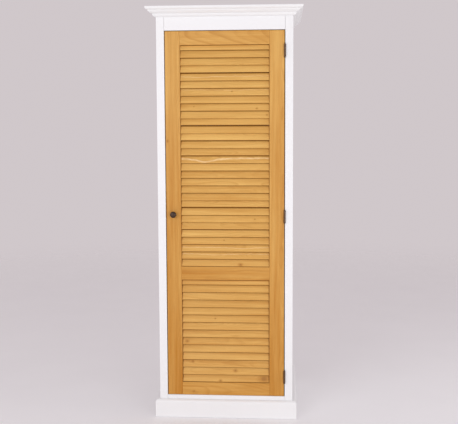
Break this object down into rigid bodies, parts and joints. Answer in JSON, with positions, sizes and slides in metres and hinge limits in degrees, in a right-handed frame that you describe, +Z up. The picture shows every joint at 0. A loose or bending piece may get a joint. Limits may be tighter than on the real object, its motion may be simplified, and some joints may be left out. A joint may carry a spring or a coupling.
{
  "type": "louvred wardrobe",
  "caption": "Tall free-standing wardrobe on a plinth with a stepped cornice, an inset louvred door on side hinges, a hat shelf and a hanging rod.",
  "frame": {"origin": "centre of the footprint, on the floor", "axes": "+Z up, front and door face -Y, back against the wall at +Y, +X to the right seen from the front"},
  "size_m": [0.728, 0.615, 1.95],
  "materials": {
    "white_paint": "satin white paint on solid pine boards",
    "honey_pine": "honey stain and clear satin lacquer on pine, grain and knots showing",
    "dark_bronze": "oil-rubbed dark bronze, worn lighter on the edges",
    "polished_steel": "bright zinc or chrome plate",
    "catch_plastic": "moulded off-white plastic"
  },
  "bodies": {
    "cabinet": {"back_panel": "white_paint", "bottom_panel": "white_paint", "cornice_front": "white_paint", "cornice_left": "white_paint", "cornice_right": "white_paint", "face_stile_left": "white_paint", "face_stile_right": "white_paint", "frieze_rail": "white_paint", "hanging_rod": "polished_steel", "hat_shelf": "white_paint", "hinge_bottom_frame_leaf": "dark_bronze", "hinge_bottom_pin": "dark_bronze", "hinge_middle_frame_leaf": "dark_bronze", "hinge_middle_pin": "dark_bronze", "hinge_top_frame_leaf": "dark_bronze", "hinge_top_pin": "dark_bronze", "magnetic_catch": "catch_plastic", "plinth_front": "white_paint", "plinth_left": "white_paint", "plinth_right": "white_paint", "rear_floor_rail": "white_paint", "rod_socket_left": "polished_steel", "rod_socket_right": "polished_steel", "shelf_cleat_left": "white_paint", "shelf_cleat_right": "white_paint", "side_panel_left": "white_paint", "side_panel_right": "white_paint", "sill_rail": "white_paint", "top_panel": "white_paint"},
    "door": {"catch_strike": "polished_steel", "door_bottom_rail": "honey_pine", "door_knob": "dark_bronze", "door_mid_rail": "honey_pine", "door_stile_left": "honey_pine", "door_stile_right": "honey_pine", "door_top_rail": "honey_pine", "hinge_bottom_door_leaf": "dark_bronze", "hinge_middle_door_leaf": "dark_bronze", "hinge_top_door_leaf": "dark_bronze", "knob_screw": "polished_steel", "lower_louvre_bank_01": "honey_pine", "lower_louvre_bank_02": "honey_pine", "lower_louvre_bank_03": "honey_pine", "lower_louvre_bank_04": "honey_pine", "lower_louvre_bank_05": "honey_pine", "lower_louvre_bank_06": "honey_pine", "lower_louvre_bank_07": "honey_pine", "upper_louvre_bank_01": "honey_pine", "upper_louvre_bank_02": "honey_pine", "upper_louvre_bank_03": "honey_pine", "upper_louvre_bank_04": "honey_pine", "upper_louvre_bank_05": "honey_pine", "upper_louvre_bank_06": "honey_pine", "upper_louvre_bank_07": "honey_pine", "upper_louvre_bank_08": "honey_pine", "upper_louvre_bank_09": "honey_pine", "upper_louvre_bank_10": "honey_pine"}
  },
  "joints": [
    {"name": "door_hinge", "type": "hinge", "parent": "cabinet", "child": "door", "pos_m": [0.2805, -0.2675, 0.98], "axis": [0, 0, 1], "range_deg": [0, 170]}
  ]
}
